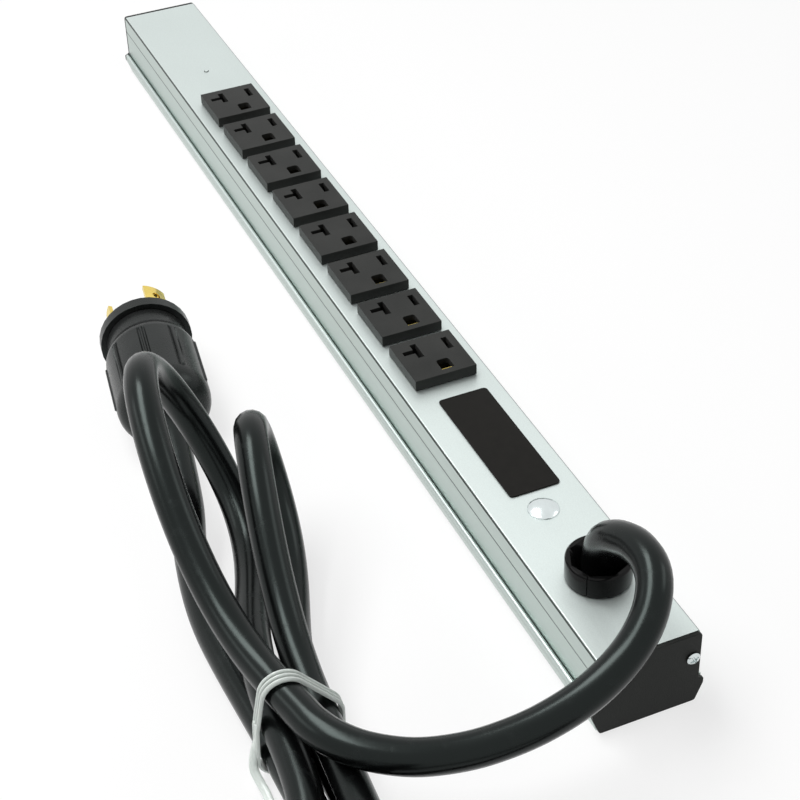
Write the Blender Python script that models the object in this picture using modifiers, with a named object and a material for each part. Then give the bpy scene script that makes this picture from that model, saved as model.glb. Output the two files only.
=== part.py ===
"""Eight-outlet aluminium power strip with a tied cord and a locking plug.

X runs along the strip from the blank end to the cord end, Y runs across it and Z is up.
The origin is at the middle of the underside, where the strip rests. Sizes are in metres.
"""
import math

import bmesh
import bpy
from mathutils import Matrix, Vector

MM = 0.001
GAP = 0.3 * MM

# Aluminium body
LENGTH = 508.0 * MM
CAP_THICK = 1.4 * MM
BODY_HALF = LENGTH / 2 - CAP_THICK - GAP
TOP_Z = 30.7 * MM
HALF_WIDTH = 18.6 * MM
WALL = 1.6 * MM
EDGE_RADIUS = 0.8 * MM
SIDE_LINE_DROP = 8.0 * MM
SIDE_LINE_WIDTH = 0.7 * MM
SIDE_LINE_DEPTH = 0.3 * MM
RAIL_HALF = 20.6 * MM
FOOT_HALF = 18.2 * MM
RAIL_LOW = 7.3 * MM
RAIL_HIGH = 10.4 * MM
LEDGE_Z = 6.0 * MM
FLOOR_THICK = 1.6 * MM
BOSS_INNER = 13.3 * MM
BOSS_LOW = 18.2 * MM
BOSS_HIGH = 23.2 * MM

# End-cap screws
SCREW_Y = 15.6 * MM
SCREW_Z = 20.7 * MM
SCREW_HEAD_R = 2.4 * MM
SCREW_HEAD_H = 1.1 * MM
SCREW_SHANK_R = 1.2 * MM
SCREW_LENGTH = 12.0 * MM
SCREW_HOLE_R = 1.6 * MM

# Receptacles and their standard slot layout
OUTLETS = 8
PITCH = 31.75 * MM
FIRST_X = -137.1 * MM
FACE = 25.4 * MM
FACE_PROUD = 4.76 * MM
SHANK = 23.2 * MM
CUTOUT = 23.9 * MM
RECEPTACLE_LOW = 14.0 * MM
SLOT_X = -5.15 * MM
SLOT_Y = 2.13 * MM
SLOT_SPACING = 12.7 * MM
GROUND_OFFSET = 11.9 * MM
HOT_SLOT = (7.3 * MM, 2.3 * MM)
NEUTRAL_SLOT = (8.8 * MM, 2.4 * MM)
BRANCH_SLOT = (2.3 * MM, 4.6 * MM)
GROUND_HOLE = (6.0 * MM, 5.2 * MM)
GROUND_ROUND = 1.2 * MM
FACE_SKIN = 2.5 * MM
HOT_CAVITY = (9.6 * MM, 4.0 * MM)
GROUND_CAVITY = (7.6 * MM, 7.4 * MM)

# Bus bars, contacts and insulation
BUS_LOW = 10.0 * MM
BUS_HIGH = 26.0 * MM
BUS_FOOT = 12.2 * MM
BUS_THICK = 0.7 * MM
BLADE_GRIP = 0.9 * MM
PIN_GRIP = 2.6 * MM
BUS_END = 16.0 * MM
TAB_DROP = 1.0 * MM
LINER = (470.0 * MM, 31.0 * MM, 0.6 * MM)

# Pieces on the top face
LABEL_X = 137.6 * MM
LABEL_Y = 2.1 * MM
LABEL = (61.3 * MM, 20.0 * MM, 0.5 * MM)
LABEL_ROUND = 1.6 * MM
BUTTON_X = 178.0 * MM
BUTTON_R = 6.0 * MM
BUTTON_RISE = 2.0 * MM
BUTTON_HOLE_R = 4.4 * MM
RIVET_X = -179.3 * MM
RIVET_R = 1.2 * MM
RIVET_HOLE_R = 0.9 * MM

# Strain-relief bushing
GLAND_X = 216.0 * MM
GLAND_Y = 1.0 * MM
GLAND_R = 11.5 * MM
GLAND_HEIGHT = 8.6 * MM
GLAND_MOUTH_R = 9.6 * MM
GLAND_STEM_R = 9.2 * MM
GLAND_HOLE_R = 9.5 * MM
GLAND_LOW = 24.5 * MM
SPLIT_GAP = 0.3 * MM

# Cord, its tied hank and the tie
CORD_D = 12.0 * MM
CORD_R = CORD_D / 2
ROUTE_STEP = 0.9 * CORD_D
END_RUN = 0.35 * CORD_D
LEAD_ROUTE = [(216.0, 1.0, 24.0), (216.0, 1.0, 39.5), (219.3, 0.6, 49.0), (226.0, 1.2, 55.8),
              (235.3, 2.4, 60.0), (245.2, 2.0, 61.0), (253.6, -0.8, 58.8), (260.6, -7.0, 53.0),
              (265.6, -17.0, 46.0), (269.3, -31.2, 40.0), (270.8, -47.2, 36.0), (270.2, -62.1, 33.7),
              (268.0, -75.0, 32.6), (263.6, -88.4, 32.6), (256.0, -100.0, 33.2), (247.8, -107.2, 33.9)]
PLUG_ROUTE = [(163.0, -119.0, 8.2), (129.0, -114.5, 9.0), (103.0, -107.0, 14.0)]
WAIST = (231.0 * MM, -110.6 * MM)
WAIST_HEADING = 176.0
WAIST_RUN = 4.0 * MM
# Each pass of the cord through the tie: across the bundle, up, and its slant in degrees
PASSES = [(-2.4 * MM, 34.2 * MM, 16.0), (-6.8 * MM, 21.0 * MM, 0.0), (6.8 * MM, 21.0 * MM, 0.0),
          (6.8 * MM, 8.2 * MM, 0.0), (-6.8 * MM, 8.2 * MM, 5.0)]
# Each half loop of the hank: reach, heading, half width, lift and the lean of its plane
HALF_LOOPS = [(140.0 * MM, 175.3, 35.5 * MM, 27.5 * MM, 62.0),
              (172.0 * MM, -26.0, 38.0 * MM, 10.0 * MM, -35.0),
              (118.0 * MM, 169.0, 22.0 * MM, 28.0 * MM, 77.0),
              (172.0 * MM, 24.0, -46.0 * MM, 0.0, 0.0)]
HALF_LOOP_POINTS = 24
LEAST_GAP = 0.4 * MM
TIE_WIDTH = 5.5 * MM
TIE_THICK = 1.1 * MM
TIE_CLEAR = 1.2 * MM
TIE_FORWARD = 7.0 * MM
TIE_ARC_STEPS = 6

# Locking plug
PLUG_BACK = (56.8 * MM, -98.7 * MM)
PLUG_HEADING = math.radians(171.3)
PLUG_AXIS_Z = 19.0 * MM
PLUG_R = 18.5 * MM
PLUG_NECK_R = 16.6 * MM
PLUG_NECK_FROM = 41.5 * MM
PLUG_BODY_LENGTH = 50.5 * MM
PLUG_FLANGE = 5.5 * MM
PLUG_CUFF_R = 8.5 * MM
BLADE_CIRCLE_R = 12.5 * MM
BLADE_THICK = 1.6 * MM
BLADE_LENGTH = 16.0 * MM
BLADE_ROOT = 4.0 * MM
BLADE_SPAN = 44.0
BLADE_ANGLES = {"plug_blade_hot": 95.0, "plug_blade_neutral": 215.0, "plug_blade_ground": 335.0}


def clear_scene():
    """Empty the scene without closing the file that is open."""
    for old in list(bpy.data.objects):
        bpy.data.objects.remove(old, do_unlink=True)


def new_collection(name):
    collection = bpy.data.collections.new(name)
    bpy.context.scene.collection.children.link(collection)
    return collection


def material(name, colour, roughness, metallic=0.0):
    mat = bpy.data.materials.new(name)
    mat.use_nodes = True
    shader = mat.node_tree.nodes["Principled BSDF"]
    shader.inputs["Base Color"].default_value = (*colour, 1.0)
    shader.inputs["Roughness"].default_value = roughness
    shader.inputs["Metallic"].default_value = metallic
    return mat


class Workshop:
    """Makes the pieces and puts each in its collection."""

    def __init__(self):
        self.parts = new_collection("power_strip")
        self.cutters = new_collection("power_strip_cutters")
        self.mats = {
            "aluminium": material("satin_aluminium", (0.74, 0.77, 0.76), 0.38, 0.9),
            "black_paint": material("black_paint", (0.03, 0.03, 0.028), 0.5),
            "black_plastic": material("black_plastic", (0.05, 0.05, 0.05), 0.45),
            "gloss_black": material("gloss_black", (0.012, 0.012, 0.012), 0.15),
            "cord_jacket": material("cord_jacket", (0.02, 0.02, 0.02), 0.3),
            "brass": material("brass", (0.78, 0.62, 0.22), 0.25, 1.0),
            "copper": material("copper_wire", (0.1, 0.1, 0.1), 0.5),
            "zinc": material("zinc", (0.7, 0.72, 0.7), 0.3, 1.0),
            "chrome": material("chrome", (0.82, 0.85, 0.86), 0.12, 1.0),
            "paper": material("fish_paper", (0.35, 0.3, 0.22), 0.8),
            "clear_tie": material("clear_tie", (0.85, 0.9, 0.87), 0.3),
        }

    def place(self, obj, collection, mat=None):
        for old in list(obj.users_collection):
            old.objects.unlink(obj)
        collection.objects.link(obj)
        if mat:
            obj.data.materials.clear()
            obj.data.materials.append(self.mats[mat])
        return obj

    def from_bmesh(self, name, bm, mat=None, smooth=False):
        mesh = bpy.data.meshes.new(name)
        bm.to_mesh(mesh)
        bm.free()
        if smooth:
            mesh.shade_smooth()
            mesh.set_sharp_from_angle(angle=math.radians(40))
        obj = bpy.data.objects.new(name, mesh)
        return self.place(obj, self.parts, mat)

    def boxes(self, name, blocks, mat=None):
        """Box primitives in one mesh, each given by its low and high corners."""
        bm = bmesh.new()
        for low, high in blocks:
            middle = (Vector(low) + Vector(high)) / 2
            size = Vector(high) - Vector(low)
            matrix = Matrix.Translation(middle) @ Matrix.Diagonal((*size, 1.0))
            bmesh.ops.create_cube(bm, size=1.0, matrix=matrix)
        return self.from_bmesh(name, bm, mat)

    def rods(self, name, places, radius, length, axis="Z", sides=20, mat=None):
        """Round bars in one mesh, each centred on one of the places."""
        turn = Matrix.Rotation(math.pi / 2, 4, "Y") if axis == "X" else Matrix.Identity(4)
        bm = bmesh.new()
        for place in places:
            bmesh.ops.create_cone(bm, cap_ends=True, segments=sides, radius1=radius, radius2=radius,
                                  depth=length, matrix=Matrix.Translation(place) @ turn)
        return self.from_bmesh(name, bm, mat, smooth=True)

    def turned(self, name, profile, steps, mat):
        """A profile of (radius, height) points, top to bottom, swept about Z."""
        bm = bmesh.new()
        points = [bm.verts.new((radius, 0.0, height)) for radius, height in profile]
        for one, two in zip(points, points[1:]):
            bm.edges.new((one, two))
        obj = self.from_bmesh(name, bm, mat)
        screw = obj.modifiers.new("turn", "SCREW")
        screw.axis = "Z"
        screw.steps = steps
        screw.render_steps = steps
        screw.use_merge_vertices = True
        screw.merge_threshold = 0.00001
        screw.use_smooth_shade = False
        return self.as_mesh(obj, smooth=True)

    def outline(self, name, loops, thickness, mat, turn=None):
        """A flat outline, with any holes, made thick along its own Z."""
        curve = bpy.data.curves.new(name, "CURVE")
        curve.dimensions = "2D"
        curve.fill_mode = "BOTH"
        curve.extrude = thickness / 2
        for points in loops:
            spline = curve.splines.new("POLY")
            spline.points.add(len(points) - 1)
            for point, place in zip(spline.points, points):
                point.co = (place[0], place[1], 0.0, 1.0)
            spline.use_cyclic_u = True
        obj = bpy.data.objects.new(name, curve)
        obj.matrix_world = turn or Matrix.Identity(4)
        self.place(obj, self.parts, mat)
        return self.as_mesh(obj)

    def tube(self, name, points, radius, mat, bevel_resolution):
        """A round tube with flat ends through the points."""
        curve = bpy.data.curves.new(name, "CURVE")
        curve.dimensions = "3D"
        curve.bevel_depth = radius
        curve.bevel_resolution = bevel_resolution
        curve.use_fill_caps = True
        curve.twist_mode = "MINIMUM"
        spline = curve.splines.new("POLY")
        spline.points.add(len(points) - 1)
        for point, place in zip(spline.points, points):
            point.co = (*place, 1.0)
        spline.use_smooth = True
        obj = bpy.data.objects.new(name, curve)
        return self.place(obj, self.parts, mat)

    def as_mesh(self, obj, smooth=False):
        """Swap an object for the mesh that its curve or modifiers make."""
        bpy.context.view_layer.update()
        depsgraph = bpy.context.evaluated_depsgraph_get()
        mesh = bpy.data.meshes.new_from_object(obj.evaluated_get(depsgraph))
        bm = bmesh.new()
        bm.from_mesh(mesh)
        bmesh.ops.remove_doubles(bm, verts=bm.verts, dist=0.000002)
        bmesh.ops.recalc_face_normals(bm, faces=bm.faces)
        bm.to_mesh(mesh)
        bm.free()
        if smooth:
            mesh.shade_smooth()
            mesh.set_sharp_from_angle(angle=math.radians(40))
        name = obj.name
        world = obj.matrix_world.copy()
        bpy.data.objects.remove(obj, do_unlink=True)
        made = bpy.data.objects.new(name, mesh)
        made.matrix_world = world
        self.parts.objects.link(made)
        return made

    def combine(self, target, tool, operation="DIFFERENCE"):
        """Cut the target with a tool, or join the tool to it."""
        self.place(tool, self.cutters)
        tool.hide_render = True
        tool.display_type = "WIRE"
        change = target.modifiers.new(tool.name, "BOOLEAN")
        change.operation = operation
        change.object = tool
        change.solver = "EXACT"
        return target


def along_x():
    """Turn a flat outline so that it is drawn in Y and Z and made thick along X."""
    return Matrix.Rotation(math.pi / 2, 4, "Z") @ Matrix.Rotation(math.pi / 2, 4, "X")


def arc(centre, radius, start, end, steps):
    """Points on an arc between two angles in degrees, both ends included."""
    angles = [math.radians(start + (end - start) * step / steps) for step in range(steps + 1)]
    return [(centre[0] + radius * math.cos(a), centre[1] + radius * math.sin(a)) for a in angles]


def mirrored(right):
    """Close a right-hand outline, listed bottom to top, with its left-hand image."""
    return right + [(-y, z) for y, z in reversed(right)]


def outlet_x(index):
    return FIRST_X + index * PITCH


def make_cover(shop):
    """The upper extrusion: a channel with a line along each side and a screw port in each wall."""
    inner = HALF_WIDTH - WALL
    line_z = TOP_Z - SIDE_LINE_DROP
    groove = SIDE_LINE_WIDTH / 2
    corner = (HALF_WIDTH - EDGE_RADIUS, TOP_Z - EDGE_RADIUS)
    outer = [(HALF_WIDTH, LEDGE_Z + GAP), (HALF_WIDTH, line_z - groove),
             (HALF_WIDTH - SIDE_LINE_DEPTH, line_z), (HALF_WIDTH, line_z + groove)]
    outer += arc(corner, EDGE_RADIUS, 0, 90, 4)
    inside = [(inner, LEDGE_Z + GAP), (inner, BOSS_LOW), (BOSS_INNER, BOSS_LOW),
              (BOSS_INNER, BOSS_HIGH), (inner, BOSS_HIGH), (inner, TOP_Z - WALL)]
    section = mirrored(outer) + [(-y, z) for y, z in inside] + inside[::-1]
    cover = shop.outline("cover", [section], 2 * BODY_HALF, "aluminium", along_x())
    half = CUTOUT / 2
    windows = [((outlet_x(i) - half, -half, TOP_Z - 3 * WALL), (outlet_x(i) + half, half, TOP_Z + WALL))
               for i in range(OUTLETS)]
    shop.combine(cover, shop.boxes("outlet_windows", windows))
    for name, x, y, radius in (("gland_hole", GLAND_X, GLAND_Y, GLAND_HOLE_R),
                               ("button_hole", BUTTON_X, 0.0, BUTTON_HOLE_R),
                               ("rivet_hole", RIVET_X, 0.0, RIVET_HOLE_R)):
        shop.combine(cover, shop.rods(name, [(x, y, TOP_Z)], radius, 6 * WALL, sides=32))
    ports = [(side * BODY_HALF, y, SCREW_Z) for side in (-1, 1) for y in (-SCREW_Y, SCREW_Y)]
    shop.combine(cover, shop.rods("screw_ports", ports, SCREW_HOLE_R, 2.2 * SCREW_LENGTH, "X", 16))


def make_base(shop):
    """The lower extrusion: a tray with sloped feet, a clip rail each side and a ledge for the cover."""
    lip = 0.5 * MM
    seat = HALF_WIDTH + GAP
    inner = HALF_WIDTH - 2.2 * MM
    outer = [(FOOT_HALF, 0.0), (RAIL_HALF, RAIL_LOW), (RAIL_HALF, RAIL_HIGH - lip),
             (RAIL_HALF - lip, RAIL_HIGH), (RAIL_HALF - 2 * lip, RAIL_HIGH), (seat, RAIL_HIGH - lip),
             (seat, LEDGE_Z), (inner, LEDGE_Z), (inner, FLOOR_THICK)]
    shop.outline("base", [mirrored(outer)], 2 * BODY_HALF, "aluminium", along_x())


def make_end_cap(shop, name, side):
    """A painted plate that closes one end and follows the body's outline."""
    corner = 1.2 * MM
    right = arc((FOOT_HALF - corner, corner), corner, 270, 350, 3)
    right += [(RAIL_HALF, RAIL_LOW), (RAIL_HALF, RAIL_HIGH - corner), (HALF_WIDTH, RAIL_HIGH)]
    right += arc((HALF_WIDTH - corner, TOP_Z - corner), corner, 0, 90, 3)
    middle = side * (LENGTH / 2 - CAP_THICK / 2)
    turn = Matrix.Translation((middle, 0.0, 0.0)) @ along_x()
    cap = shop.outline(name, [mirrored(right)], CAP_THICK, "black_paint", turn)
    holes = [(middle, -SCREW_Y, SCREW_Z), (middle, SCREW_Y, SCREW_Z)]
    shop.combine(cap, shop.rods(name + "_holes", holes, SCREW_HOLE_R, 3 * CAP_THICK, "X", 16))


def make_screw(shop, name, side, y):
    """A pan-head screw through the end cap into the cover's screw port."""
    profile = [(0.0, SCREW_HEAD_H), (0.6 * SCREW_HEAD_R, 0.85 * SCREW_HEAD_H),
               (SCREW_HEAD_R, 0.3 * SCREW_HEAD_H), (SCREW_HEAD_R, 0.0), (SCREW_SHANK_R, 0.0),
               (SCREW_SHANK_R, SCREW_SHANK_R - SCREW_LENGTH), (0.0, -SCREW_LENGTH)]
    screw = shop.turned(name, profile, 16, "zinc")
    screw.location = (side * (LENGTH / 2 + GAP), y, SCREW_Z)
    screw.rotation_euler = (0.0, side * math.pi / 2, 0.0)


def make_receptacles(shop):
    """The snap-in outlets: a proud square face on a body that fills its window."""
    face_z = TOP_Z + FACE_PROUD
    half = FACE / 2
    shank = SHANK / 2
    hot_y = SLOT_Y + SLOT_SPACING / 2
    neutral_y = SLOT_Y - SLOT_SPACING / 2
    ground_x = SLOT_X + GROUND_OFFSET
    master = shop.boxes("receptacle_master", [((-half, -half, TOP_Z + GAP), (half, half, face_z))])
    body = shop.boxes("receptacle_body", [((-shank, -shank, RECEPTACLE_LOW), (shank, shank, face_z - MM))])
    shop.combine(master, body, "UNION")

    def opening(name, x, y, size, low, high):
        low_corner = (x - size[0] / 2, y - size[1] / 2, low)
        high_corner = (x + size[0] / 2, y + size[1] / 2, high)
        shop.combine(master, shop.boxes(name, [(low_corner, high_corner)]))

    below = RECEPTACLE_LOW - MM
    above = face_z + MM
    skin = face_z - FACE_SKIN
    opening("hot_slot", SLOT_X, hot_y, HOT_SLOT, skin - MM, above)
    opening("hot_cavity", SLOT_X, hot_y, HOT_CAVITY, below, skin)
    opening("neutral_slot", SLOT_X, neutral_y, NEUTRAL_SLOT, skin - MM, above)
    opening("neutral_cavity", SLOT_X, neutral_y, HOT_CAVITY, below, skin)
    branch_y = neutral_y - NEUTRAL_SLOT[1] / 2 - BRANCH_SLOT[1] / 2 + 0.1 * MM
    opening("branch_slot", SLOT_X, branch_y, BRANCH_SLOT, below, above)
    far = -GROUND_HOLE[0] / 2
    side = GROUND_HOLE[1] / 2
    corner = (far + GROUND_ROUND, side - GROUND_ROUND)
    right = arc(corner, GROUND_ROUND, 180, 90, 4) + [(-far, side)]
    hole = right[::-1] + [(x, -y) for x, y in right]
    turn = Matrix.Translation((ground_x, SLOT_Y, face_z - FACE_SKIN / 2))
    shop.combine(master, shop.outline("ground_hole", [hole], FACE_SKIN + 2 * MM, "brass", turn))
    opening("ground_cavity", ground_x, SLOT_Y, GROUND_CAVITY, below, skin)
    mesh = shop.as_mesh(master).data
    bpy.data.objects.remove(bpy.data.objects["receptacle_master"], do_unlink=True)
    for index in range(OUTLETS):
        outlet = bpy.data.objects.new("receptacle_%d" % (index + 1), mesh)
        outlet.location = (outlet_x(index), 0.0, 0.0)
        shop.place(outlet, shop.parts, "black_plastic")


def make_bus(shop, name, y, grip, centre_x, grip_length):
    """A brass channel under the outlets, its walls left standing as spring contacts."""
    side = grip + BUS_THICK
    section = [(-side, BUS_LOW), (side, BUS_LOW), (side, BUS_HIGH), (grip, BUS_HIGH),
               (grip, BUS_LOW + BUS_THICK), (-grip, BUS_LOW + BUS_THICK), (-grip, BUS_HIGH),
               (-side, BUS_HIGH)]
    start = outlet_x(0) - BUS_END
    end = outlet_x(OUTLETS - 1) + BUS_END
    turn = Matrix.Translation(((start + end) / 2, y, 0.0)) @ along_x()
    bus = shop.outline(name, [section], end - start, "brass", turn)
    edges = [start - MM]
    for index in range(OUTLETS):
        middle = outlet_x(index) + centre_x
        edges += [middle - grip_length / 2, middle + grip_length / 2]
    edges.append(end + MM)
    gaps = [((low, y - 2 * side, BUS_FOOT), (high, y + 2 * side, BUS_HIGH + MM))
            for low, high in zip(edges[::2], edges[1::2])]
    shop.combine(bus, shop.boxes(name + "_gaps", gaps))


def make_wiring(shop):
    """Bus bars, grounding tabs, the paper liner and the three wires from the cord."""
    hot_y = SLOT_Y + SLOT_SPACING / 2
    neutral_y = SLOT_Y - SLOT_SPACING / 2
    ground_x = SLOT_X + GROUND_OFFSET
    make_bus(shop, "bus_bar_hot", hot_y, BLADE_GRIP, SLOT_X, 7.0 * MM)
    make_bus(shop, "bus_bar_neutral", neutral_y, BLADE_GRIP, SLOT_X, 7.0 * MM)
    make_bus(shop, "bus_bar_ground", SLOT_Y, PIN_GRIP, ground_x - 1.0 * MM, 4.4 * MM)
    tab_top = TOP_Z + FACE_PROUD - TAB_DROP
    width = GROUND_HOLE[1] - 2 * GAP
    near = GROUND_HOLE[0] / 2 - GAP
    tab_low = BUS_LOW + BUS_THICK + GAP
    bend = [(near - 1.0 * MM, tab_top), (near - 0.8 * MM, tab_low), (near, tab_low), (near, tab_top)]
    for index in range(OUTLETS):
        turn = Matrix.Translation((outlet_x(index) + ground_x, SLOT_Y, 0.0))
        turn = turn @ Matrix.Rotation(math.pi / 2, 4, "X")
        shop.outline("ground_tab_%d" % (index + 1), [bend], width, "brass", turn)
    low = Vector((-LINER[0] / 2, -LINER[1] / 2, FLOOR_THICK + GAP))
    shop.boxes("insulating_liner", [(low, low + Vector(LINER))], "paper")
    end = outlet_x(OUTLETS - 1) + BUS_END + 1.2 * MM
    for name, y, start_y in (("wire_hot", hot_y, 4.0 * MM), ("wire_neutral", neutral_y, -4.0 * MM),
                             ("wire_ground", SLOT_Y, 0.0)):
        drop = LEAD_ROUTE[0][2] * MM - 2 * GAP
        route = [Vector((GLAND_X, GLAND_Y + start_y, drop)), Vector((GLAND_X, GLAND_Y + start_y, 20 * MM)),
                 Vector((GLAND_X - 8 * MM, GLAND_Y + start_y, 13.5 * MM)),
                 Vector((GLAND_X - 30 * MM, y, 11.5 * MM)), Vector((end + 8 * MM, y, 11.5 * MM)),
                 Vector((end, y, 11.5 * MM))]
        shop.tube(name, route, 1.4 * MM, "copper", 2)


def make_top_pieces(shop):
    """The label plate, the hole plug and the rivet on the top face."""
    half_x = LABEL[0] / 2 - LABEL_ROUND
    half_y = LABEL[1] / 2 - LABEL_ROUND
    plate = []
    for centre, start in (((half_x, half_y), 0), ((-half_x, half_y), 90),
                          ((-half_x, -half_y), 180), ((half_x, -half_y), 270)):
        plate += arc(centre, LABEL_ROUND, start, start + 90, 4)
    place = Matrix.Translation((LABEL_X, LABEL_Y, TOP_Z + GAP / 3 + LABEL[2] / 2))
    shop.outline("label_plate", [plate], LABEL[2], "gloss_black", place)
    dome = [(BUTTON_R * math.sin(a), 0.5 * MM + BUTTON_RISE * math.cos(a))
            for a in (math.radians(15 * step) for step in range(7))]
    stem = BUTTON_HOLE_R - GAP
    dome += [(BUTTON_R, 0.0), (stem, 0.0), (stem, -4.0 * MM), (0.0, -4.0 * MM)]
    button = shop.turned("hole_plug", dome, 28, "chrome")
    button.location = (BUTTON_X, 0.0, TOP_Z + GAP / 3)
    shank = RIVET_HOLE_R - GAP
    head = [(0.0, 0.35 * MM), (0.7 * RIVET_R, 0.25 * MM), (RIVET_R, 0.0), (shank, 0.0),
            (shank, -3.0 * MM), (0.0, -3.0 * MM)]
    rivet = shop.turned("ground_rivet", head, 12, "aluminium")
    rivet.location = (RIVET_X, 0.0, TOP_Z + GAP / 3)


def make_gland(shop):
    """The two halves of the strain-relief bushing, with a wide faceted mouth."""
    bore = CORD_R + GAP
    low = GLAND_LOW - TOP_Z
    ring = [(GLAND_MOUTH_R, GLAND_HEIGHT), (GLAND_R - 0.6 * MM, GLAND_HEIGHT),
            (GLAND_R, GLAND_HEIGHT - 0.6 * MM), (GLAND_R, 0.0), (GLAND_STEM_R, 0.0), (GLAND_STEM_R, low),
            (bore, low), (bore, 2.0 * MM), (GLAND_MOUTH_R, GLAND_HEIGHT)]
    reach = 3 * GLAND_R
    for name, side in (("bushing_half_left", -1), ("bushing_half_right", 1)):
        half = shop.turned(name, ring, 32, "gloss_black")
        half.location = (GLAND_X, GLAND_Y, TOP_Z + GAP)
        edge = GLAND_Y + side * SPLIT_GAP / 2
        other = GLAND_Y - side * reach
        low_corner = (GLAND_X - reach, min(edge, other), 0.0)
        high_corner = (GLAND_X + reach, max(edge, other), 3 * TOP_Z)
        shop.combine(half, shop.boxes(name + "_split", [(low_corner, high_corner)]))


def heading_vector(degrees):
    """A level unit vector at an angle from X."""
    angle = math.radians(degrees)
    return Vector((math.cos(angle), math.sin(angle), 0.0))


def pass_direction(index):
    """The way the cord runs through the tie on its way to the loops on the plug's side."""
    return heading_vector(WAIST_HEADING + PASSES[index][2])


def pass_point(index, forward=0.0):
    """A point on one pass of the cord, measured forward from the middle of the tie."""
    across, height, _slant = PASSES[index]
    right = heading_vector(WAIST_HEADING - 90.0)
    return Vector((*WAIST, height)) + right * across + pass_direction(index) * forward


def half_loop(index):
    """Points of one half loop, out from the tie, round its end and back to the tie."""
    reach, heading, width, lift, lean = HALF_LOOPS[index]
    start = pass_point(index)
    end = pass_point(index + 1)
    forward = 1.0 if index % 2 == 0 else -1.0
    aim = heading_vector(heading)
    side = heading_vector(heading - 90.0) * forward
    tilt = math.radians(lean)
    across = side * math.cos(tilt) - Vector((0.0, 0.0, math.sin(tilt)))
    points = []
    for step in range(HALF_LOOP_POINTS + 1):
        turn = math.pi * step / HALF_LOOP_POINTS
        out = math.sin(turn)
        near = math.cos(turn) ** 6
        hold = pass_direction(index if turn < math.pi / 2 else index + 1) * forward
        place = start.lerp(end, (1.0 - math.cos(turn)) / 2)
        place += (hold * near + aim * (1.0 - near)) * (reach * out)
        place -= across * (width * math.sin(2 * turn) * (1.0 - near))
        place.z += lift * out * (1.0 - near)
        points.append(place)
    return points


def hank_route():
    """The tied loops as one line, with a straight run at each end."""
    last = len(PASSES) - 1
    route = [pass_point(0, -WAIST_RUN)]
    for index in range(len(HALF_LOOPS)):
        route += half_loop(index)[:-1]
    return route + [pass_point(last), pass_point(last, WAIST_RUN)]


def smooth_route(knots, step):
    """Even points on a smooth curve through the knots, with both end runs kept straight."""
    knots = [Vector(knot) for knot in knots]
    path = []
    for index in range(1, len(knots) - 2):
        before, start, end, after = knots[index - 1:index + 3]
        for part in range(12):
            t = part / 12
            point = (2 * start + (end - before) * t + (2 * before - 5 * start + 4 * end - after) * t * t
                     + (3 * start - before - 3 * end + after) * t ** 3) / 2
            path.append(point)
    path.append(knots[-2])
    lengths = [(two - one).length for one, two in zip(path, path[1:])]
    total = sum(lengths)
    count = max(2, round(total / step))
    points = [knots[0]]
    walked = 0.0
    piece = 0
    for number in range(count + 1):
        goal = total * number / count
        while piece < len(lengths) - 1 and walked + lengths[piece] < goal:
            walked += lengths[piece]
            piece += 1
        points.append(path[piece].lerp(path[piece + 1], min(1.0, (goal - walked) / lengths[piece])))
    return points + [knots[-1]]


def line_length(points):
    return sum((two - one).length for one, two in zip(points, points[1:]))


def least_gap(points, diameter):
    """The least space between stretches of one tube that are not neighbours along it."""
    fine = []
    for one, two in zip(points, points[1:]):
        fine += [one.lerp(two, part / 4) for part in range(4)]
    walk = [0.0]
    for one, two in zip(fine, fine[1:]):
        walk.append(walk[-1] + (two - one).length)
    least = float("inf")
    for i, one in enumerate(fine):
        for j in range(i + 1, len(fine)):
            if walk[j] - walk[i] > 4 * diameter:
                least = min(least, (fine[j] - one).length)
    return least - diameter


def plug_point(along, height=PLUG_AXIS_Z):
    """A point on the plug's axis, measured forward from its back end."""
    return Vector((PLUG_BACK[0] + along * math.cos(PLUG_HEADING),
                   PLUG_BACK[1] + along * math.sin(PLUG_HEADING), height))


def make_cord(shop):
    """The lead from the bushing, the tied hank and the run to the plug."""
    hank = hank_route()
    last = len(PASSES) - 1
    joint = WAIST_RUN + GAP
    lead = [Vector(knot) * MM for knot in LEAD_ROUTE]
    lead += [pass_point(0, -joint - END_RUN), pass_point(0, -joint)]
    tail = [pass_point(last, joint), pass_point(last, joint + CORD_D)]
    tail += [Vector(knot) * MM for knot in PLUG_ROUTE]
    tail += [plug_point(-CORD_D - GAP), plug_point(-GAP)]
    lead_points = smooth_route(lead, ROUTE_STEP)
    tail_points = smooth_route(tail, ROUTE_STEP)
    shop.tube("cord_lead", lead_points, CORD_R, "cord_jacket", 2)
    shop.tube("cord_hank", hank, CORD_R, "cord_jacket", 1)
    shop.tube("cord_plug_run", tail_points, CORD_R, "cord_jacket", 2)
    gap = least_gap(hank, CORD_D)
    print("hank least gap to itself, mm:", round(gap / MM, 2))
    whole = least_gap(lead_points + hank + tail_points, CORD_D)
    print("whole cord least gap to itself, mm:", round(whole / MM, 2))
    lengths = [line_length(points) for points in (lead_points, hank, tail_points)]
    print("cord lengths, m:", [round(length, 4) for length in lengths], "in all", round(sum(lengths), 4))
    if gap < LEAST_GAP:
        print("the hank's loops are too close")


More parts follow.
